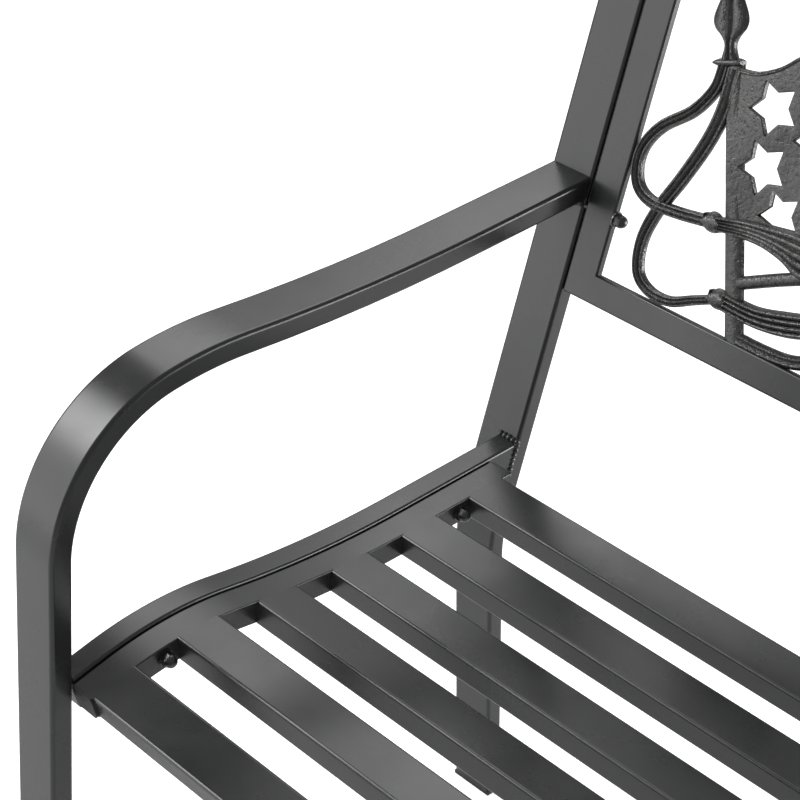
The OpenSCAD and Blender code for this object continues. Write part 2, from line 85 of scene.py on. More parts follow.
def trace(start: Vector, angle: float, segments: Sequence[Point], step: float = 2.0) -> list[Vector]:
    """Follow straight runs and bends in the side plane.

    Args:
        start: first point, along Y and Z.
        angle: first heading in degrees.
        segments: (length, 0) for a straight run, (radius, turn) for a bend; clockwise is positive.
        step: degrees between points of a bend.

    Returns:
        The points of the line.
    """
    points = [start.copy()]
    for size, turn in segments:
        base = points[-1]
        if turn == 0:
            points.append(base + size * heading(angle))
            continue
        side = math.copysign(1.0, turn)
        count = max(6, math.ceil(abs(turn) / step))
        first = heading(angle - 90)
        for k in range(1, count + 1):
            points.append(base + side * size * (first - heading(angle - turn * k / count - 90)))
        angle -= turn
    return points


def smooth_line(points: Sequence[Point], steps: int = 8) -> list[Vector]:
    """Catmull-Rom curve through the given points, with steps points for each gap."""
    p = [Vector(q) for q in points]
    last = len(p) - 1
    out = []
    for i in range(last):
        a, b, c, d = p[max(i - 1, 0)], p[i], p[i + 1], p[min(i + 2, last)]
        for k in range(steps):
            u = k / steps
            out.append(0.5 * (2 * b + (c - a) * u + (2 * a - 5 * b + 4 * c - d) * u * u
                              + (3 * b - a - 3 * c + d) * u ** 3))
    return out + [p[last]]


@dataclass(frozen=True)
class BenchLines:
    """Planes and lines that the bench's parts share, in millimetres."""

    inner_x: float = 590.0
    post_y: float = 403.2
    recline: float = 13.1
    back_depth: float = 8.0
    crown_v: float = 915.0
    seat_front_y: float = 19.0
    seat_h: float = 404.0
    seat_rise: float = 16.5
    seat_straight: float = 30.0
    crest: Point = (300.0, 23.0)
    dip: Point = (1000.0, -11.0)
    seat_length: float = 447.0
    side_rail_length: float = 519.0

    @property
    def lean(self) -> float:
        """Recline of the back in radians."""
        return math.radians(self.recline)

    @property
    def front_y(self) -> float:
        """Place of the front leg's front face along Y."""
        depth = self.post_y + self.crown_v * math.sin(self.lean) + self.back_depth * math.cos(self.lean)
        return -depth / 2

    def side_point(self, x: float, p: Vector) -> Vector:
        """World place in metres of a side-plane point p at x."""
        return Vector((x, self.front_y + p[0], p[1])) * MM

    def back_point(self, x: float, w: float, v: float) -> Vector:
        """World place in metres of a point w behind the back's front plane and v up its lean."""
        c, s = math.cos(self.lean), math.sin(self.lean)
        return Vector((x, self.front_y + self.post_y + w * c + v * s, v * c - w * s)) * MM

    @property
    def back_normal(self) -> Vector:
        """Direction straight into the reclined back."""
        return Vector((0, math.cos(self.lean), -math.sin(self.lean)))

    def seat_tube(self, length: float, thickness: float, lift: float = 0.0) -> list[Vector]:
        """Centre line of a tube whose top follows the seat line, raised by lift."""
        crest_r, crest_turn = self.crest
        dip_r, dip_turn = self.dip
        drop = crest_r * (1 - math.cos(math.radians(self.seat_rise)))
        front_z = self.seat_h - drop - self.seat_straight * math.sin(math.radians(self.seat_rise))
        half = thickness / 2 - lift
        start = Vector((self.seat_front_y, front_z)) + half * heading(self.seat_rise - 90)
        used = self.seat_straight + math.radians(crest_r * crest_turn - dip_r * dip_turn)
        return trace(start, self.seat_rise, [
            (self.seat_straight, 0), (crest_r - half, crest_turn), (dip_r + half, dip_turn),
            (length - used, 0)], 1.0)

    def meet_post(self, line: Sequence[Vector]) -> float:
        """Distance up the lean at which the last run of a side-plane line meets the posts' front."""
        a, b = line[-2], line[-1]
        gaps = [p[0] - self.post_y - p[1] * math.tan(self.lean) for p in (a, b)]
        return a.lerp(b, gaps[0] / (gaps[0] - gaps[1]))[1] / math.cos(self.lean)


# ---- Mesh work ----


def placed(name: str, data: object) -> Object:
    """A new object with the given data, in the scene."""
    obj = bpy.data.objects.new(name, data)
    bpy.context.scene.collection.objects.link(obj)
    return obj


def line_mesh(points: Sequence[Vector]) -> Mesh:
    """A mesh of one open chain of edges through the points."""
    mesh = bpy.data.meshes.new("line")
    mesh.from_pydata([tuple(p) for p in points], [(i, i + 1) for i in range(len(points) - 1)], [])
    return mesh


def evaluated_mesh(obj: Object) -> Mesh:
    """Plain mesh of the object with its modifiers applied. The object is removed."""
    graph = bpy.context.evaluated_depsgraph_get()
    mesh = bpy.data.meshes.new_from_object(obj.evaluated_get(graph), depsgraph=graph)
    bpy.data.objects.remove(obj)
    return mesh


def grow(seed: Mesh, tree: NodeTree, values: dict[str, object]) -> Mesh:
    """Run a geometry tree on a seed mesh.

    Args:
        seed: the mesh that the tree starts from.
        tree: a geometry node tree with named inputs.
        values: input values by name.

    Returns:
        The tree's result as a plain mesh.
    """
    obj = placed("seed", seed)
    shape = obj.modifiers.new("shape", "NODES")
    shape.node_group = tree
    for item in tree.interface.items_tree:
        if item.item_type == "SOCKET" and item.in_out == "INPUT" and item.name in values:
            shape[item.identifier] = values[item.name]
    return evaluated_mesh(obj)


def cut_flat(bm: BMesh, at: Vector, outward: Vector) -> None:
    """Cut a closed mesh by a plane, drop what lies on the outward side and close the cut."""
    geometry = bm.verts[:] + bm.edges[:] + bm.faces[:]
    cut = bmesh.ops.bisect_plane(bm, geom=geometry, plane_co=at, plane_no=outward, clear_outer=True)
    edges = [e for e in cut["geom_cut"] if isinstance(e, BMEdge)]
    bmesh.ops.edgeloop_fill(bm, edges=edges)


def dressed(name: str, bm: BMesh, finish: Material,
            nodes: Sequence[str], flats: bool = True) -> Object:
    """Turn a finished mesh into a piece of the bench.

    Args:
        name: the piece's name.
        bm: its mesh, in world metres. It is freed.
        finish: its material.
        nodes: the CAD nodes that it stands for.
        flats: whether large flat faces keep their normals flat beside rounded edges.

    Returns:
        The object, riding on the bench's body.
    """
    bmesh.ops.remove_doubles(bm, verts=bm.verts[:], dist=1e-6)
    bmesh.ops.recalc_face_normals(bm, faces=bm.faces[:])
    for edge in bm.edges:
        edge.smooth = not (len(edge.link_faces) == 2 and edge.calc_face_angle(0.0) > SHARP_ANGLE)
    for face in bm.faces:
        face.smooth = True
        face.material_index = 0
    mesh = bpy.data.meshes.new(name)
    bm.to_mesh(mesh)
    bm.free()
    if flats:
        helper = placed("helper", mesh)
        weights = helper.modifiers.new("flats", "WEIGHTED_NORMAL")
        weights.keep_sharp = True
        mesh = evaluated_mesh(helper)
        mesh.name = name
    mesh.materials.clear()
    mesh.materials.append(finish)
    obj = placed(name, mesh)
    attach(obj, BODY)
    if nodes:
        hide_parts(*nodes)
    LOG.info("%s: %d faces", name, len(mesh.polygons))
    return obj


# ---- Node work ----


class Graph:
    """Adds and joins the nodes of one tree."""

    def __init__(self, tree: NodeTree) -> None:
        """Keep the tree."""
        self.tree = tree

    def add(self, kind: str, inputs: dict[object, object] | None = None, **props: object) -> Node:
        """Add a node.

        Args:
            kind: the node's type name.
            inputs: values, or output sockets to join, by socket name or number.
            props: properties of the node.

        Returns:
            The node.
        """
        node = self.tree.nodes.new(kind)
        for key, value in props.items():
            setattr(node, key, value)
        for key, value in (inputs or {}).items():
            if isinstance(value, NodeSocket):
                self.tree.links.new(value, node.inputs[key])
            else:
                node.inputs[key].default_value = value
        return node

    def out(self, kind: str, inputs: dict[object, object] | None = None, **props: object) -> NodeSocket:
        """Add a node and return its first output."""
        return self.add(kind, inputs, **props).outputs[0]

    def given(self, values: dict[str, object]) -> None:
        """Add an interface input for each name, of the kind of its first value."""
        kinds = {float: "Float", int: "Int", tuple: "Vector"}
        for name, value in values.items():
            socket = self.tree.interface.new_socket(
                name, in_out="INPUT", socket_type="NodeSocket" + kinds[type(value)])
            socket.default_value = value

    def math(self, operation: str, a: object, b: object, clamp: bool = False) -> NodeSocket:
        """Output of a math node on a and b."""
        return self.out("ShaderNodeMath", {0: a, 1: b}, operation=operation, use_clamp=clamp)

    def noise(self, place: NodeSocket, scale: object, detail: float, roughness: float = 0.5) -> NodeSocket:
        """Noise at the given place."""
        return self.out("ShaderNodeTexNoise", {"Vector": place, "Scale": scale, "Detail": detail,
                                               "Roughness": roughness})

    def spread(self, value: NodeSocket, low: float, high: float, to_low: float = 0.0,
               to_high: float = 1.0, **props: object) -> NodeSocket:
        """Map a value from one range to another."""
        return self.out("ShaderNodeMapRange", {"Value": value, "From Min": low, "From Max": high,
                                               "To Min": to_low, "To Max": to_high}, **props)


def geometry_graph(name: str, values: dict[str, object]) -> tuple[Graph, Sockets, NodeSocket]:
    """A new geometry tree, its inputs (Geometry, those of values, Material) and its seed line."""
    graph = Graph(bpy.data.node_groups.new(name, "GeometryNodeTree"))
    face = graph.tree.interface
    face.new_socket("Geometry", in_out="OUTPUT", socket_type="NodeSocketGeometry")
    face.new_socket("Geometry", in_out="INPUT", socket_type="NodeSocketGeometry")
    graph.given(values)
    face.new_socket("Material", in_out="INPUT", socket_type="NodeSocketMaterial")
    entry = {socket.name: socket for socket in graph.add("NodeGroupInput").outputs if socket.name}
    return graph, entry, graph.out("GeometryNodeMeshToCurve", {"Mesh": entry["Geometry"]})


def end_tree(graph: Graph, geometry: NodeSocket, entry: Sockets) -> NodeTree:
    """Close a geometry tree with smooth shading, real geometry and its material."""
    smooth = graph.out("GeometryNodeSetShadeSmooth", {"Geometry": geometry})
    real = graph.out("GeometryNodeRealizeInstances", {"Geometry": smooth})
    coated = graph.out("GeometryNodeSetMaterial", {"Geometry": real, "Material": entry["Material"]})
    graph.add("NodeGroupOutput", {0: coated})
    return graph.tree


SECTION_INPUTS = {"Width": 0.04, "Thickness": 0.02, "Corner Radius": 0.003}


def sweep_section(graph: Graph, entry: Sockets, line: NodeSocket,
                  across: object) -> NodeSocket:
    """Rounded rectangle of the section inputs, swept along a line with its width along across."""
    box = graph.out("GeometryNodeCurvePrimitiveQuadrilateral",
                    {"Width": entry["Width"], "Height": entry["Thickness"]})
    section = graph.out("GeometryNodeFilletCurve", {
        "Curve": box, "Radius": entry["Corner Radius"], "Count": 6}, mode="POLY")
    turned = graph.out("GeometryNodeSetCurveNormal", {"Curve": line, "Normal": across}, mode="FREE")
    return graph.out("GeometryNodeCurveToMesh", {"Curve": turned, "Profile Curve": section,
                                                 "Fill Caps": True})


def tube_tree() -> NodeTree:
    """Tree that sweeps a rounded tube section along a flat line."""
    graph, entry, line = geometry_graph("swept_tube", {**SECTION_INPUTS, "Across": (1, 0, 0)})
    return end_tree(graph, sweep_section(graph, entry, line, entry["Across"]), entry)


def slat_tree() -> NodeTree:
    """Tree that lays equal slats along the seat line, square to it."""
    graph, entry, line = geometry_graph("slat_row", {**SECTION_INPUTS, "Length": 1.1, "Slats": 6})
    half = graph.math("MULTIPLY", entry["Length"], 0.5)
    ends = [graph.out("ShaderNodeCombineXYZ", {"X": graph.math("MULTIPLY", half, sign)})
            for sign in (-1.0, 1.0)]
    axis = graph.out("GeometryNodeCurvePrimitiveLine", {"Start": ends[0], "End": ends[1]})
    places = graph.add("GeometryNodeCurveToPoints", {"Curve": line, "Count": entry["Slats"]}, mode="COUNT")
    aim = graph.out("FunctionNodeAlignRotationToVector", {"Vector": places.outputs["Tangent"]},
                    axis="Y", pivot_axis="X")
    row = graph.out("GeometryNodeInstanceOnPoints", {
        "Points": places.outputs["Points"], "Instance": sweep_section(graph, entry, axis, (0, 1, 0)),
        "Rotation": aim})
    return end_tree(graph, row, entry)


def bead_tree() -> NodeTree:
    """Tree that lays overlapping weld ripples along a line."""
    graph, entry, line = geometry_graph("weld_bead", {"Pitch": 0.004, "Bead Radius": 0.003, "Seed": 3})
    places = graph.add("GeometryNodeCurveToPoints", {"Curve": line, "Length": entry["Pitch"]},
                       mode="LENGTH")
    aim = graph.out("FunctionNodeAlignRotationToVector", {"Vector": places.outputs["Tangent"]}, axis="Z")
    drop = graph.out("GeometryNodeMeshIcoSphere", {"Radius": entry["Bead Radius"], "Subdivisions": 2})
    size = graph.out("FunctionNodeRandomValue", {"Seed": entry["Seed"], "Min": (0.75, 0.75, 0.8),
                                                 "Max": (1.1, 1.1, 1.15)}, data_type="FLOAT_VECTOR")
    row = graph.out("GeometryNodeInstanceOnPoints", {
        "Points": places.outputs["Points"], "Instance": drop, "Rotation": aim, "Scale": size})
    return end_tree(graph, row, entry)


# ---- Finishes ----


def shader_group(name: str, values: dict[str, object],
                 made: Sequence[str]) -> tuple[Graph, Sockets, NodeSocket]:
    """A new shader group with inputs and float outputs, its inputs and its Object coordinates."""
    graph = Graph(bpy.data.node_groups.new(name, "ShaderNodeTree"))
    graph.given(values)
    for output in made:
        graph.tree.interface.new_socket(output, in_out="OUTPUT", socket_type="NodeSocketFloat")
    entry = {socket.name: socket for socket in graph.add("NodeGroupInput").outputs if socket.name}
    return graph, entry, graph.add("ShaderNodeTexCoord").outputs["Object"]


def coat_group() -> NodeTree:
    """Orange peel, fine grain and slow mottle of a sprayed coat."""
    graph, entry, place = shader_group(
        "sprayed_coat", {"Peel Scale": 500.0, "Grain Scale": 2200.0, "Mottle Scale": 9.0},
        ("Height", "Mottle"))
    peel = graph.noise(place, entry["Peel Scale"], 1.5, 0.45)
    grain = graph.noise(place, entry["Grain Scale"], 1.0)
    mottle = graph.noise(place, entry["Mottle Scale"], 4.0, 0.6)
    height = graph.math("ADD", peel, graph.math("MULTIPLY", grain, 0.3))
    graph.add("NodeGroupOutput", {"Height": height, "Mottle": mottle})
    return graph.tree


def sand_group() -> NodeTree:
    """Sand-cast skin: lumps, grit and scattered pits."""
    graph, entry, place = shader_group(
        "sand_cast_skin", {"Lump Scale": 160.0, "Grit Scale": 900.0, "Pit Scale": 240.0},
        ("Height", "Mottle", "Pits"))
    lumps = graph.noise(place, entry["Lump Scale"], 3.0, 0.55)
    grit = graph.noise(place, entry["Grit Scale"], 2.0)
    cells = graph.out("ShaderNodeTexVoronoi", {"Vector": place, "Scale": entry["Pit Scale"]})
    pits = graph.spread(cells, 0.05, 0.32, 1.0, 0.0, interpolation_type="SMOOTHSTEP")
    rough = graph.math("ADD", lumps, graph.math("MULTIPLY", grit, 0.35))
    height = graph.math("SUBTRACT", rough, graph.math("MULTIPLY", pits, 0.35))
    graph.add("NodeGroupOutput", {"Height": height, "Mottle": lumps, "Pits": pits})
    return graph.tree


def rub_group() -> NodeTree:
    """Mask of edges where the coat is thin, broken up by noise."""
    graph, entry, place = shader_group("edge_rub", {"Reach": 0.0012, "Break Scale": 60.0}, ("Mask",))
    rounded = graph.out("ShaderNodeBevel", {"Radius": entry["Reach"]}, samples=4)
    flat = graph.add("ShaderNodeNewGeometry").outputs["Normal"]
    turn = graph.add("ShaderNodeVectorMath", {0: rounded, 1: flat}, operation="DOT_PRODUCT")
    edge = graph.spread(turn.outputs["Value"], 0.99, 0.8)
    broken = graph.spread(graph.noise(place, entry["Break Scale"], 5.0, 0.65), 0.42, 0.62)
    graph.add("NodeGroupOutput", {"Mask": graph.math("MULTIPLY", edge, broken, True)})
    return graph.tree


def fresh_graph(owner: object) -> Graph:
    """The emptied node graph of a material or world."""
    owner.use_nodes = True
    owner.node_tree.nodes.clear()
    return Graph(owner.node_tree)


@dataclass(frozen=True)
class Groups:
    """Shared shader groups, built once."""

    coat: NodeTree = field(default_factory=coat_group)
    sand: NodeTree = field(default_factory=sand_group)
    rub: NodeTree = field(default_factory=rub_group)


# How far pits and rubbed edges change the roughness
PIT_ROUGHNESS = 0.12
RUB_ROUGHNESS = -0.08


class Skin(Enum):
    """Which surface relief a finish has."""

    SPRAYED = "coat"
    SAND_CAST = "sand"


@dataclass(frozen=True)
class Finish:
    """A painted or moulded finish. Its scales follow the order of its skin's inputs."""

    name: str
    skin: Skin
    dark: Triple
    light: Triple
    rubbed: Triple
    roughness: tuple[float, float]
    ior: float
    relief: float
    relief_depth: float
    rub_amount: float
    scales: Triple

    def build(self, groups: Groups) -> Material:
        """Make the material.

        Args:
            groups: the shared shader groups.

        Returns:
            A node-based material.
        """
        material = bpy.data.materials.new(self.name)
        graph = fresh_graph(material)
        skin = graph.add("ShaderNodeGroup", node_tree=getattr(groups, self.skin.value))
        for socket, scale in zip(skin.inputs, self.scales):
            socket.default_value = scale
        rub = graph.out("ShaderNodeGroup", node_tree=groups.rub)
        colour = self.blend(graph, skin.outputs["Mottle"], self.dark, self.light)
        worn = graph.math("MULTIPLY", rub, self.rub_amount)
        colour = self.blend(graph, worn, colour, self.rubbed)
        rough = graph.spread(skin.outputs["Mottle"], 0.3, 0.7, *self.roughness)
        if self.skin is Skin.SAND_CAST:
            change = graph.math("MULTIPLY", skin.outputs["Pits"], PIT_ROUGHNESS)
        else:
            change = graph.math("MULTIPLY", worn, RUB_ROUGHNESS)
        bump = graph.out("ShaderNodeBump", {"Height": skin.outputs["Height"], "Strength": self.relief,
                                            "Distance": self.relief_depth})
        shader = graph.out("ShaderNodeBsdfPrincipled", {
            "Base Color": colour, "Roughness": graph.math("ADD", rough, change, True), "Normal": bump,
            "IOR": self.ior})
        graph.add("ShaderNodeOutputMaterial", {"Surface": shader})
        return material

    @staticmethod
    def blend(graph: Graph, share: NodeSocket, a: object, b: object) -> NodeSocket:
        """Colour between a and b at the given share."""
        mix = graph.add("ShaderNodeMix", data_type="RGBA")
        graph.tree.links.new(share, mix.inputs[0])
        for number, value in ((6, a), (7, b)):
            if isinstance(value, NodeSocket):
                graph.tree.links.new(value, mix.inputs[number])
            else:
                mix.inputs[number].default_value = (*value, 1.0)
        return mix.outputs[2]


POWDER_COAT = Finish("charcoal_powder_coat", Skin.SPRAYED, (0.011, 0.012, 0.0115), (0.019, 0.0205, 0.0195),
                     (0.06, 0.062, 0.06), (0.21, 0.33), 1.5, 0.10, 0.00025, 0.35,
                     (520.0, 2100.0, 8.0))
CAST_PAINT = Finish("painted_sand_casting", Skin.SAND_CAST, (0.010, 0.0105, 0.010), (0.026, 0.0265, 0.025),
                    (0.13, 0.13, 0.125), (0.2, 0.36), 1.6, 0.8, 0.0010, 0.8,
                    (210.0, 950.0, 260.0))
CAP_PLASTIC = Finish("moulded_black_plastic", Skin.SPRAYED, (0.008, 0.008, 0.009), (0.014, 0.014, 0.015),
                     (0.03, 0.03, 0.03), (0.38, 0.5), 1.46, 0.3, 0.0002, 0.4,
                     (1300.0, 3200.0, 30.0))
PAINTED_STEEL = Finish("painted_hardware", Skin.SPRAYED, (0.014, 0.015, 0.015), (0.03, 0.031, 0.031),
                       (0.2, 0.2, 0.19), (0.22, 0.34), 1.55, 0.25, 0.0002, 0.6,
                       (900.0, 2600.0, 60.0))


@dataclass
class Finishes:
    """The bench's materials by record slot."""

    groups: Groups = field(default_factory=Groups)
    by_slot: dict[Slot, Material] = field(default_factory=dict)

    def __post_init__(self) -> None:
        """Build one material for each slot."""
        for slot, finish in ((Slot.COAT, POWDER_COAT), (Slot.CAST, CAST_PAINT),
                             (Slot.PLASTIC, CAP_PLASTIC), (Slot.HARDWARE, PAINTED_STEEL)):
            self.by_slot[slot] = finish.build(self.groups)

    def dress_cad(self) -> None:
        """Give every CAD node the finish that suits it."""
        words = {Slot.HARDWARE: ("cap_nuts", "bolts", "washers", "screws"),
                 Slot.PLASTIC: ("caps", "plugs"), Slot.CAST: ("flag", "medallion")}
        for name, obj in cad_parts.items():
            slot = next((slot for slot, parts in words.items() if any(part in name for part in parts)),
                        Slot.COAT)
            for holder in obj.material_slots:
                holder.material = self.by_slot[slot]


# ---- Frame tubes and seat ----


@dataclass
class TubeFrame:
    """Arm tubes, rear posts and the rails that follow the seat line."""

    lines: BenchLines
    coat: Material
    tube_w: float = 45.0
    arm_t: float = 20.0
    post_t: float = 18.0
    tube_r: float = 3.5
    foot_h: float = 4.0
    leg_straight: float = 489.0
    arm_bends: tuple[Point, ...] = ((125, 78), (320, 13), (2050, -6.7))
    arm_over: float = 160.0
    splay: float = 7.1
    rear_foot_y: float = 516.8
    knee_r: float = 150.0
    post_top_v: float = 868.0
    leg_under: float = 30.0
    side_rail: Point = (22.0, 32.0)
    seat_rail: Point = (24.0, 21.0)
    rail_r: float = 2.5
    seat_rail_r: float = 1.2
    seat_gap: float = 1.5
    side_rail_lift: float = 2.0
    frame_gap: float = 1.8
    stile_w: float = 30.0
    back_rail_h: float = 26.0
    arch_rise: float = 28.0
    arch_steps: int = 96
    arch_over: float = 30.0
    back_r: float = 2.0

    def __post_init__(self) -> None:
        """Build the sweep tree."""
        self.tree = tube_tree()

    def sweep(self, x: float, line: Sequence[Vector], w: float, t: float, r: float) -> BMesh:
        """Tube of width w and thickness t, with corners r, along a side-plane line at x."""
        return self.sweep_along([self.lines.side_point(x, p) for p in line], w, t, r, (1.0, 0.0, 0.0))

    def sweep_along(self, points: Sequence[Vector], w: float, t: float, r: float,
                    across: Sequence[float]) -> BMesh:
        """Tube along world points, with its width w along the direction across."""
        mesh = grow(line_mesh(points), self.tree, {
            "Width": w * MM, "Thickness": t * MM, "Corner Radius": r * MM, "Across": tuple(across),
            "Material": self.coat})
        bm = bmesh.new()
        bm.from_mesh(mesh)
        bmesh.ops.remove_doubles(bm, verts=bm.verts[:], dist=1e-6)
        return bm

    def post_line(self) -> list[Vector]:
        """Centre line of a rear post, from under the floor to its top."""
        tan_splay = math.tan(math.radians(self.splay))
        leg_y = self.rear_foot_y + self.post_t / 2 / math.cos(math.radians(self.splay))
        lean = self.lines.lean
        post_y = self.lines.post_y + self.post_t / 2 / math.cos(lean)
        knee_z = (leg_y - post_y) / (tan_splay + math.tan(lean))
        turn = self.splay + self.lines.recline
        tangent = self.knee_r * math.tan(math.radians(turn / 2))
        start = Vector((leg_y + self.leg_under * tan_splay, -self.leg_under))
        return trace(start, 90 + self.splay, [
            ((self.leg_under + knee_z) / math.cos(math.radians(self.splay)) - tangent, 0),
            (self.knee_r, turn), (self.post_top_v - knee_z / math.cos(lean) - tangent, 0)], 1.5)

    def build(self) -> None:
        """Make both ends of the bench."""
        for side in Side:
            self.build_side(side)
        self.build_arch()

    def build_arch(self) -> None:
        """Make the arched top rail, mitred to the stiles."""
        lines = self.lines
        frame_x = lines.inner_x - self.frame_gap
        open_x = frame_x - self.stile_w
        radius = (frame_x ** 2 + self.arch_rise ** 2) / (2 * self.arch_rise)
        centre_v = lines.crown_v - radius

        def on_arch(x: float, r: float) -> float:
            """Height up the lean of a circle of radius r at x."""
            return centre_v + math.sqrt(r * r - x * x)

        reach = frame_x + self.arch_over
        spots = [reach * (2 * k / self.arch_steps - 1) for k in range(self.arch_steps + 1)]
        middle_r = radius - self.back_rail_h / 2
        points = [lines.back_point(x, lines.back_depth / 2, on_arch(x, middle_r)) for x in spots]
        bm = self.sweep_along(points, lines.back_depth, self.back_rail_h, self.back_r, lines.back_normal)
        fall = on_arch(frame_x, radius) - on_arch(open_x, radius - self.back_rail_h)
        for side in Side:
            corner = lines.back_point(side.value * frame_x, 0, on_arch(frame_x, radius))
            toward = lines.back_point(side.value * fall, 0, -self.stile_w) - lines.back_point(0, 0, 0)
            cut_flat(bm, corner, toward)
        dressed("arched_top_rail", bm, self.coat, ["back_top_rail"])

    def build_side(self, side: Side) -> None:
        """Make one end: arm, post, side rail and seat rail."""
        lines, s = self.lines, side.value
        outer_x = s * (lines.inner_x + self.tube_w / 2)
        post_face = lines.back_point(0, 0, 0)
        arm = [(self.leg_straight - self.foot_h, 0), *self.arm_bends, (self.arm_over, 0)]
        bm = self.sweep(outer_x, trace(Vector((self.arm_t / 2, self.foot_h)), 90, arm),
                        self.tube_w, self.arm_t, self.tube_r)
        cut_flat(bm, post_face, lines.back_normal)
        dressed(f"arm_{side.word}", bm, self.coat, [f"arm_tube_{side.word}"])
        bm = self.sweep(outer_x, self.post_line(), self.tube_w, self.post_t, self.tube_r)
        cut_flat(bm, Vector((0, 0, self.foot_h * MM)), Vector((0, 0, -1)))
        dressed(f"post_{side.word}", bm, self.coat, [f"rear_post_{side.word}"])
        w, t = self.side_rail
        rail_line = lines.seat_tube(lines.side_rail_length, t, self.side_rail_lift)
        bm = self.sweep(s * (lines.inner_x + w / 2), rail_line, w, t, self.rail_r)
        cut_flat(bm, post_face, lines.back_normal)
        cut_flat(bm, lines.side_point(0, Vector((self.arm_t, 0))), Vector((0, -1, 0)))
        dressed(f"side_rail_{side.word}_tube", bm, self.coat, [f"side_rail_{side.word}"])
        w, t = self.seat_rail
        bm = self.sweep(s * (lines.inner_x - self.seat_gap - w / 2), lines.seat_tube(lines.seat_length, t),
                        w, t, self.seat_rail_r)
        dressed(f"seat_rail_{side.word}_tube", bm, self.coat, [f"seat_rail_{side.word}"])


@dataclass
class SlatRow:
    """The six slats of the seat."""

    lines: BenchLines
    coat: Material
    width: float = 42.0
    height: float = 21.0
    corner: float = 2.5
    pitch: float = 79.4
    count: int = 6
    length: float = 1132.0

    def centre_line(self) -> list[Vector]:
        """Centre line of the slats, from the middle of the first to the middle of the last."""
        top = self.lines.seat_tube(self.lines.seat_length, 0.0)
        middle = self.lines.seat_tube(self.lines.seat_length, self.height)
        first = self.width / 2
        last = first + (self.count - 1) * self.pitch
        out, run = [], 0.0
        for i, (p, q) in enumerate(zip(top, top[1:])):
            step = (q - p).length
            out += [middle[i].lerp(middle[i + 1], (mark - run) / step)
                    for mark in (first, last) if run < mark <= run + step]
            run += step
            if first < run < last:
                out.append(middle[i + 1])
        return out

    def build(self) -> None:
        """Make the row as one piece."""
        seed = line_mesh([self.lines.side_point(0, p) for p in self.centre_line()])
        mesh = grow(seed, slat_tree(), {
            "Width": self.width * MM, "Thickness": self.height * MM, "Corner Radius": self.corner * MM,
            "Length": self.length * MM, "Slats": self.count, "Material": self.coat})
        bm = bmesh.new()
        bm.from_mesh(mesh)
        dressed("seat_slats", bm, self.coat,
                [f"seat_slat_{k + 1}" for k in range(self.count)])


@dataclass
class WeldBeads:
    """Ripple welds where arms and side rails meet the posts."""

    lines: BenchLines
    coat: Material
    radius: float = 3.3
    pitch: float = 3.9
    arm_span: Point = (4.0, 41.0)
    arm_v: float = 645.0
    rail_span: Point = (20.0, 0.5)
    rail_drop: Point = (3.0, 26.0)
    above_rail: float = 2.6
    arm_ahead: float = 0.2
    rail_ahead: float = 0.3

    def build(self) -> None:
        """Lay the beads on both ends of the bench."""
        tree = bead_tree()
        for name, loops, node in (("arm_weld_beads", self.arm_loops(), "arm_welds"),
                                  ("side_rail_weld_beads", self.rail_loops(), "side_rail_welds")):
            bm = bmesh.new()
            for seed, loop in enumerate(loops):
                mesh = grow(line_mesh(loop), tree, {"Pitch": self.pitch * MM, "Seed": seed,
                                                    "Bead Radius": self.radius * MM,
                                                    "Material": self.coat})
                bm.from_mesh(mesh)
            dressed(name, bm, self.coat, [node], flats=False)

    def spot(self, side: Side, d: float, v: float, ahead: float) -> Vector:
        """Point ahead of a post's front face, d outwards from the arm frame's inner face."""
        return self.lines.back_point(side.value * (self.lines.inner_x + d), -ahead, v)

    def arm_loops(self) -> list[list[Vector]]:
        """Lines under each arm, across the post's front face."""
        return [[self.spot(side, d, self.arm_v, self.arm_ahead) for d in self.arm_span] for side in Side]

    def rail_loops(self) -> list[list[Vector]]:
        """Lines across the top and down the inner side of each side rail at the post."""
        v = self.lines.meet_post(self.lines.seat_tube(self.lines.side_rail_length, 0.0)) + self.above_rail
        loops = []
        for side in Side:
            loops.append([self.spot(side, d, v, self.rail_ahead) for d in self.rail_span])
            loops.append([self.spot(side, self.rail_span[1], v - drop, self.rail_ahead)
                          for drop in self.rail_drop])
        return loops


# ---- Cast ornament ----


class Section(Enum):
    """Cross-sections of cast strips, from the middle to one edge: (across, height) as shares."""

    CORD = ((0, 1), (.14, .95), (.28, .80), (.36, .70), (.44, .76), (.58, .84), (.76, .82), (.92, .66),
            (1, .42))
    BAND = ((0, 1), (.5, .94), (.86, .72), (1, .35))
    ROUND = ((0, 1), (.3, .96), (.65, .8), (.9, .5), (1, .2))
    SCROLL = ((0, .68), (.14, .8), (.45, .96), (.82, .75), (1, .3))
    LEAF = ((0, 1), (.12, .86), (.2, .76), (.34, .84), (.6, .82), (.86, .64), (1, .4))

    @property
    def whole(self) -> list[Point]:
        """The section from edge to edge."""
        return [(-u, h) for u, h in self.value[:0:-1]] + list(self.value)


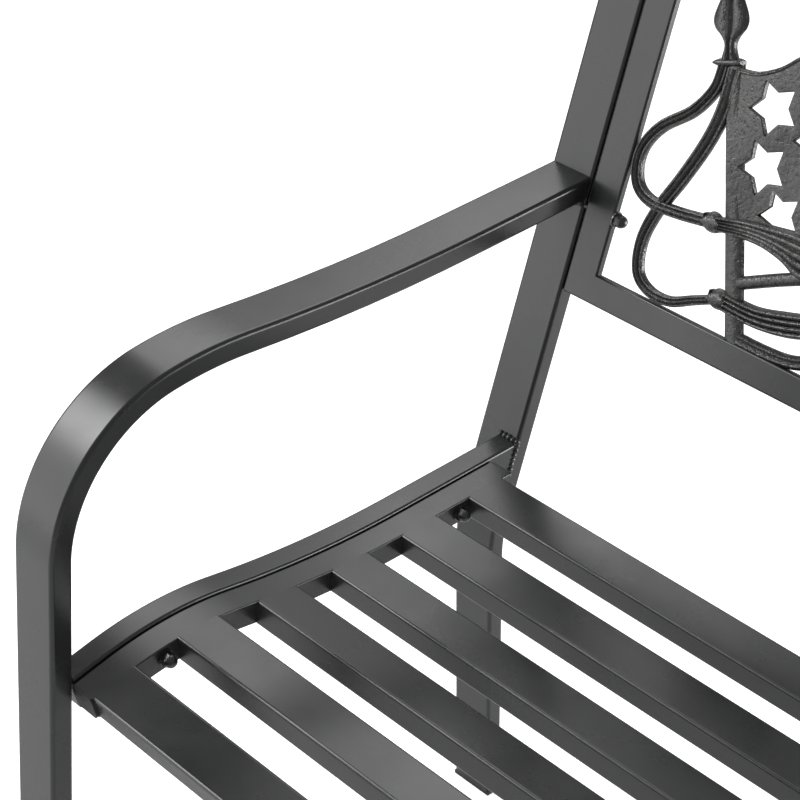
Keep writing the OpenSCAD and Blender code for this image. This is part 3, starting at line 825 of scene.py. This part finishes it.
@dataclass
class Relief:
    """Collects the closed strips and plates of one casting in the plane of the back."""

    lines: BenchLines
    side: Side
    back_w: float = 7.2
    bm: BMesh = field(default_factory=bmesh.new)

    def place(self, a: float, w: float, v: float) -> Vector:
        """World place of a point a in from the arm frame, w deep and v up the lean."""
        return self.lines.back_point(self.side.value * (self.lines.inner_x - a), w, v)

    def ripple(self, a: float, v: float) -> float:
        """Depth of the cloth's folds."""
        return 0.9 * math.sin((a - 0.35 * v) / 17.0) + 0.4 * math.sin((a + 0.6 * v) / 9.0)

    def strip(self, line: Sequence[Vector], widths: float | Sequence[float], section: Section,
              front_w: float = -0.8, closed: bool = False, rippled: bool = False) -> None:
        """Add a strip along a line.

        Args:
            line: points (a, v).
            widths: one width, or one for each point.
            section: the cross-section.
            front_w: depth of the section's highest point.
            closed: whether the line is a loop.
            rippled: whether the strip follows the folds of the cloth.
        """
        count = len(line)
        rings = []
        for i, p in enumerate(line):
            before = line[(i - 1) % count] if closed else line[max(i - 1, 0)]
            after = line[(i + 1) % count] if closed else line[min(i + 1, count - 1)]
            along = (after - before).normalized()
            across = Vector((-along[1], along[0]))
            half = (widths if isinstance(widths, (int, float)) else widths[i]) / 2
            shift = self.ripple(*p) if rippled else 0.0
            ring = []
            for u, h in section.whole:
                q = p + across * u * half
                ring.append(self.bm.verts.new(self.place(q[0], self.back_w - h * (self.back_w - front_w)
                                                         + shift, q[1])))
            for u in (0.86, -0.86):
                q = p + across * u * half
                ring.append(self.bm.verts.new(self.place(q[0], self.back_w, q[1])))
            rings.append(ring)
        size = len(rings[0])
        pairs = list(zip(rings, rings[1:])) + ([(rings[-1], rings[0])] if closed else [])
        for one, two in pairs:
            for j in range(size):
                k = (j + 1) % size
                self.bm.faces.new((one[j], one[k], two[k], two[j]))
        if not closed:
            self.bm.faces.new(rings[0])
            self.bm.faces.new(rings[-1])

    def plate(self, outline: Sequence[Vector], holes: Sequence[Sequence[Vector]], front_w: float,
              bevel: float = 0.9, cell: float = 7.0) -> None:
        """Add a plate with holes, whose front and back roll with the folds.

        Args:
            outline: points (a, v) of its edge.
            holes: outlines of its cut-outs.
            front_w: depth of its front.
            bevel: radius of its edges.
            cell: size of the grid that its faces are cut into.
        """
        curve = bpy.data.curves.new("plate", "CURVE")
        curve.dimensions, curve.fill_mode = "2D", "BOTH"
        curve.bevel_depth, curve.bevel_resolution, curve.offset = bevel, 2, -bevel
        curve.extrude = (self.back_w - front_w) / 2 - bevel
        for loop in (outline, *holes):
            spline = curve.splines.new("POLY")
            spline.points.add(len(loop) - 1)
            for point, p in zip(spline.points, loop):
                point.co = (p[0], p[1], 0, 1)
            spline.use_cyclic_u = True
        obj = placed("plate", curve)
        part = bmesh.new()
        part.from_mesh(evaluated_mesh(obj))
        bmesh.ops.remove_doubles(part, verts=part.verts[:], dist=0.01)
        for axis, normal in enumerate((Vector((1, 0, 0)), Vector((0, 1, 0)))):
            reach = [v.co[axis] for v in part.verts]
            low, high = min(reach), max(reach)
            for k in range(1, int((high - low) / cell) + 1):
                bmesh.ops.bisect_plane(part, geom=part.verts[:] + part.edges[:] + part.faces[:],
                                       plane_co=normal * (low + k * cell), plane_no=normal)
        middle = (self.back_w + front_w) / 2
        for vert in part.verts:
            a, v, z = vert.co
            vert.co = self.place(a, middle - z + self.ripple(a, v), v)
        mesh = bpy.data.meshes.new("plate")
        part.to_mesh(mesh)
        part.free()
        self.bm.from_mesh(mesh)

    def knot(self, at: Point, r: float, front_w: float = -2.6) -> None:
        """Add a ball knot with a collar ring on either side."""
        x, v = at
        spots = [k / 8 for k in range(-8, 9)]
        line = [Vector((x + q * r, v + 0.12 * q * r)) for q in spots]
        widths = [2 * r * math.sqrt(max(1 - q * q, 0.03)) for q in spots]
        self.strip(line, widths, Section.ROUND, front_w)
        for sign in (-1, 1):
            ring = [Vector((x + sign * r * 0.86, v + q)) for q in (-0.62 * r, 0.62 * r)]
            self.strip(ring, 2.6, Section.ROUND, -1.6)

    def skirt(self, top: Sequence[Point], bottom: Sequence[Point], strands: int = 5) -> None:
        """Add a tassel's skirt as a bundle of strands between two edges."""
        high, low = smooth_line(top, 6), smooth_line(bottom, 6)
        for k in range(strands):
            share = (k + 0.5) / strands
            line = [p.lerp(q, share) for p, q in zip(high, low)]
            last = len(line) - 1
            widths = [1.3 * (p - q).length / strands * (0.45 if i == last else 1)
                      for i, (p, q) in enumerate(zip(high, low))]
            drop = 0.5 * (k % 2)
            self.strip(line, widths, Section.ROUND, -1.9 + drop)


def star_points(at: Point, r: float, waist: float = 0.57) -> list[Vector]:
    """Outline of a five-pointed star with one point down."""
    return [Vector((at[0] + q * math.sin(math.radians(36 * i)), at[1] - q * math.cos(math.radians(36 * i))))
            for i, q in enumerate([r, waist * r] * 5)]


@dataclass
class FlagCasting:
    """A cast flag on a leaning pole, with two looped cords and their tassels."""

    lines: BenchLines
    paint: Material
    side: Side
    pole_foot: Point = (175.0, 594.0)
    pole_lean: float = 19.7
    pole_w: float = 18.0
    collar_at: Point = (96.0, 801.0)
    leaf_root: Point = (92.0, 812.0)
    leaf_lean: float = 17.0
    leaf_reach: float = 57.9
    leaf_half: tuple[Point, ...] = ((8, -9), (5, 1), (8, 8), (15.5, 16), (16.5, 25), (10, 40), (4, 55))
    outer_cord: tuple[Point, ...] = ((92, 798), (90, 777), (76, 754), (52, 733), (40, 714), (38, 696),
                                     (45, 679), (62, 671), (90, 672), (124, 677))
    inner_cord: tuple[Point, ...] = ((103, 798), (103, 765), (97, 735), (84, 700), (70, 668), (63, 638),
                                     (68, 612), (84, 601), (106, 601), (128, 611), (150, 621))
    cord_w: float = 11.0
    knot_r: float = 9.0
    collar_half: float = 13.0
    collar_h: float = 7.6
    scroll_w: float = 12.0
    fly_w: float = 10.0
    hem_w: float = 5.0
    hem_drop: float = 2.6
    inner_w: Point = (15.0, 8.0)
    stars: tuple[Point, ...] = ((148, 781), (154, 734), (181, 704), (194, 770), (222, 733), (241, 779),
                                (268, 742), (250, 698))
    star_r: float = 22.5
    flag_top: tuple[Point, ...] = ((104, 800), (124, 803), (143, 813), (160, 828), (178, 834), (215, 824),
                                   (262, 808), (310, 822), (360, 838), (410, 826), (455, 806), (500, 812))
    field_end: float = 300.0
    field_drop: float = 128.0
    stripe_h: float = 11.0
    stripe_pitch: float = 28.0
    stripes: int = 6
    scroll: tuple[Point, ...] = ((178, 598), (205, 598), (232, 601), (262, 613), (300, 622), (345, 612),
                                 (395, 599), (450, 612), (500, 650))
    fly_end: tuple[Point, ...] = ((500, 819), (507, 770), (497, 730), (503, 680), (500, 645))

    def on_pole(self, v: float) -> Point:
        """Point on the pole's centre line at height v."""
        return self.pole_foot[0] - (v - self.pole_foot[1]) * math.tan(math.radians(self.pole_lean)), v

    def build(self) -> None:
        """Make the casting as one piece."""
        relief = Relief(self.lines, self.side)
        self.add_cloth(relief)
        self.add_pole(relief)
        self.add_cords(relief)
        relief.strip(smooth_line(self.scroll), self.scroll_w, Section.SCROLL, 0.2)
        relief.strip(smooth_line(self.fly_end), self.fly_w, Section.BAND, 0.0)
        dressed(f"flag_casting_{self.side.word}", relief.bm, self.paint,
                [f"flag_panel_{self.side.word}"], flats=False)

    def add_pole(self, relief: Relief) -> None:
        """Add the pole, its collar and its spear leaf."""
        ends = [Vector(self.on_pole(v)) for v in (self.pole_foot[1] - 1, self.collar_at[1])]
        line = [ends[0].lerp(ends[1], k / 12) for k in range(13)]
        relief.strip(line, self.pole_w, Section.BAND, 0.9)
        lean = math.radians(self.leaf_lean)
        across, along = Vector((math.cos(lean), math.sin(lean))), Vector((-math.sin(lean), math.cos(lean)))
        at = Vector(self.collar_at)
        spots = [k / 8 for k in range(-8, 9)]
        relief.strip([at + across * self.collar_half * q for q in spots],
                     [self.collar_h * max(1 - abs(q) ** 6, 0.25) ** 0.5 for q in spots], Section.ROUND, -2.6)
        halves = smooth_line([*self.leaf_half, (0.6, self.leaf_reach)], 5)
        root = Vector(self.leaf_root)
        relief.strip([root + along * h[1] for h in halves], [2 * h[0] for h in halves], Section.LEAF, -1.8)

    def add_cords(self, relief: Relief) -> None:
        """Add the two cords, their knots and their skirts."""
        inner = smooth_line(self.inner_cord)
        last = len(inner) - 1
        start, end = self.inner_w
        relief.strip(inner, [start + (end - start) * i / last for i in range(last + 1)], Section.CORD, -0.6)
        relief.strip(smooth_line(self.outer_cord), self.cord_w, Section.CORD, -1.4)
        relief.knot(self.outer_cord[-1], self.knot_r)
        relief.knot(self.inner_cord[-1], self.knot_r)
        relief.skirt(((128, 683), (150, 689), (178, 694), (208, 698), (236, 694)),
                     ((128, 672), (170, 677), (196, 673), (216, 665), (240, 668)))
        relief.skirt(((154, 629), (185, 629), (214, 636), (244, 645)),
                     ((154, 614), (190, 613), (222, 618), (250, 628)), 4)

    def add_cloth(self, relief: Relief) -> None:
        """Add the star field and the stripes."""
        top = [p for p in smooth_line(self.flag_top, 6) if p[0] < self.field_end]
        low = [(self.field_end, 700), (262, 676), (230, 677), (200, 682), (170, 684), self.on_pole(680),
               (self.on_pole(700)[0] - 7, 700), (self.on_pole(760)[0] - 7, 760)]
        outline = [*top, *(Vector(p) for p in low)]
        relief.plate(outline, [star_points(p, self.star_r) for p in self.stars], 1.4)
        for k in range(self.stripes):
            drop = k * self.stripe_pitch + self.stripe_h / 2
            beside = drop < self.field_drop
            line = [(a, v - drop) for a, v in self.flag_top if a > (230 if beside else 300)]
            if not beside:
                line = [(163, 640), (204, 660), (232, 671), (268, 677), *line]
            relief.strip(smooth_line(line, 6), self.stripe_h, Section.BAND, 0.6, rippled=True)
        hem = [p - Vector((0, self.hem_drop)) for p in top]
        relief.strip(hem, self.hem_w, Section.ROUND, 0.2, rippled=True)


@dataclass
class Medallion:
    """A faceted star in a ring between the two flags."""

    lines: BenchLines
    paint: Material
    middle_v: float = 728.0
    radius: float = 82.0
    rim: float = 12.0
    strut_x: Point = (-30.0, 30.0)
    strut_w: float = 12.0
    strut_lap: float = 14.0
    low_v: float = 593.5
    high_v: float = 888.8

    def build(self) -> None:
        """Make the medallion as one piece."""
        relief = Relief(self.lines, Side.LEFT)
        centre = self.lines.inner_x
        ring_r = self.radius - self.rim / 2
        ring = [Vector((centre + ring_r * math.cos(t), self.middle_v + ring_r * math.sin(t)))
                for t in (math.radians(4 * k) for k in range(90))]
        relief.strip(ring, self.rim, Section.SCROLL, -1.0, closed=True)
        for x in self.strut_x:
            reach = self.radius - self.strut_lap
            for v0, v1 in ((self.low_v, self.middle_v - reach), (self.middle_v + reach, self.high_v)):
                line = [Vector((centre + x, v0 + (v1 - v0) * k / 8)) for k in range(9)]
                relief.strip(line, self.strut_w, Section.BAND, 0.2)
        self.add_star(relief, (centre, self.middle_v), self.radius - self.rim + 4)
        dressed("medallion_casting", relief.bm, self.paint, ["centre_medallion"], flats=False)

    @staticmethod
    def add_star(relief: Relief, at: Point, r: float) -> None:
        """Add a solid star whose front rises to a ridge along every arm."""
        outline = star_points(at, r)
        front = [relief.bm.verts.new(relief.place(p[0], 4.2, p[1])) for p in outline]
        back = [relief.bm.verts.new(relief.place(p[0], relief.back_w, p[1])) for p in outline]
        peak = relief.bm.verts.new(relief.place(at[0], -2.0, at[1]))
        for i in range(10):
            k = (i + 1) % 10
            relief.bm.faces.new((front[i], front[k], peak))
            relief.bm.faces.new((front[k], front[i], back[i], back[k]))
        relief.bm.faces.new(back)


# ---- Studio ----


@dataclass(frozen=True)
class SoftBox:
    """A square area light aimed at a point."""

    name: str
    at: Triple
    aim: Triple
    size: float
    watts: float

    def build(self) -> None:
        """Add the light to the scene."""
        data = bpy.data.lights.new(self.name, "AREA")
        data.energy, data.size = self.watts, self.size
        lamp = placed(self.name, data)
        lamp.location = self.at
        lamp.rotation_euler = (Vector(self.aim) - Vector(self.at)).to_track_quat("-Z", "Y").to_euler()


@dataclass
class Studio:
    """Floor, light and camera."""

    eye: Triple = (0.4582, -1.0694, 1.4082)
    right: Triple = (0.693243, 0.716936, 0.073592)
    down: Triple = (0.409861, -0.308193, -0.858505)
    forward: Triple = (-0.592813, 0.625315, -0.507497)
    lens: float = 98.573
    floor_half: float = 12.0
    floor_tone: float = 0.95
    floor_glow: float = 0.62
    surround: Point = (0.35, 1.1)
    boxes: tuple[SoftBox, ...] = (
        SoftBox("overhead_box", (-2.0, 1.15, 2.75), (-0.5, 0.1, 0.5), 1.8, 31.0),
        SoftBox("front_box", (-2.1, -2.0, 0.75), (-0.6, -0.2, 0.4), 1.8, 24.0),
        SoftBox("bend_box", (-2.1, -1.45, 2.1), (-0.6, -0.2, 0.55), 1.1, 44.0),
        SoftBox("rear_box", (1.7, 2.1, 0.6), (-0.3, 0.1, 0.5), 1.6, 100.0),
    )

    def build(self) -> None:
        """Set the stage."""
        for box in self.boxes:
            box.build()
        self.add_world()
        self.add_floor()
        self.add_camera()
        bpy.context.scene.view_settings.view_transform = "Standard"

    def add_world(self) -> None:
        """White surroundings that light the bench a little less than they show."""
        world = bpy.data.worlds.new("studio")
        graph = fresh_graph(world)
        ray = graph.add("ShaderNodeLightPath").outputs["Is Camera Ray"]
        strength = graph.spread(ray, 0.0, 1.0, *self.surround)
        glow = graph.out("ShaderNodeBackground", {"Color": (1, 1, 1, 1), "Strength": strength})
        graph.add("ShaderNodeOutputWorld", {"Surface": glow})
        bpy.context.scene.world = world

    def add_floor(self) -> None:
        """Wide pale floor with a very fine tooth."""
        material = bpy.data.materials.new("pale_floor")
        graph = fresh_graph(material)
        place = graph.add("ShaderNodeTexCoord").outputs["Object"]
        tooth = graph.noise(place, 300.0, 2.0)
        bump = graph.out("ShaderNodeBump", {"Height": tooth, "Strength": 0.05, "Distance": 0.0005})
        pale = (self.floor_tone,) * 3 + (1,)
        matt = graph.out("ShaderNodeBsdfDiffuse", {"Color": pale, "Normal": bump})
        glow = graph.out("ShaderNodeEmission", {"Strength": self.floor_glow})
        shown = graph.out("ShaderNodeAddShader", {0: matt, 1: glow})
        bounced = graph.out("ShaderNodeBsdfDiffuse", {"Color": pale})
        ray = graph.add("ShaderNodeLightPath").outputs["Is Camera Ray"]
        mix = graph.out("ShaderNodeMixShader", {0: ray, 1: bounced, 2: shown})
        graph.add("ShaderNodeOutputMaterial", {"Surface": mix})
        h = self.floor_half
        mesh = bpy.data.meshes.new("floor")
        mesh.from_pydata([(-h, -h, 0), (h, -h, 0), (h, h, 0), (-h, h, 0)], [], [(0, 1, 2, 3)])
        mesh.materials.append(material)
        floor = placed("floor", mesh)

    def add_camera(self) -> None:
        """Camera that looks down over the right end of the seat at the left arm."""
        data = bpy.data.cameras.new("camera")
        data.lens, data.sensor_width = self.lens, 36.0
        camera = placed("camera", data)
        turn = Matrix((self.right, [-d for d in self.down], [-f for f in self.forward])).transposed()
        camera.matrix_world = Matrix.Translation(self.eye) @ turn.to_4x4()
        bpy.context.scene.camera = camera


def main() -> None:
    """Build the bench and its studio."""
    logging.basicConfig(level=logging.INFO, format="%(name)s %(message)s")
    lines = BenchLines()
    finishes = Finishes()
    finishes.dress_cad()
    coat, paint = finishes.by_slot[Slot.COAT], finishes.by_slot[Slot.CAST]
    TubeFrame(lines, coat).build()
    SlatRow(lines, coat).build()
    WeldBeads(lines, coat).build()
    for side in Side:
        FlagCasting(lines, paint, side).build()
    Medallion(lines, paint).build()
    Studio().build()


if __name__ == "__main__":
    main()
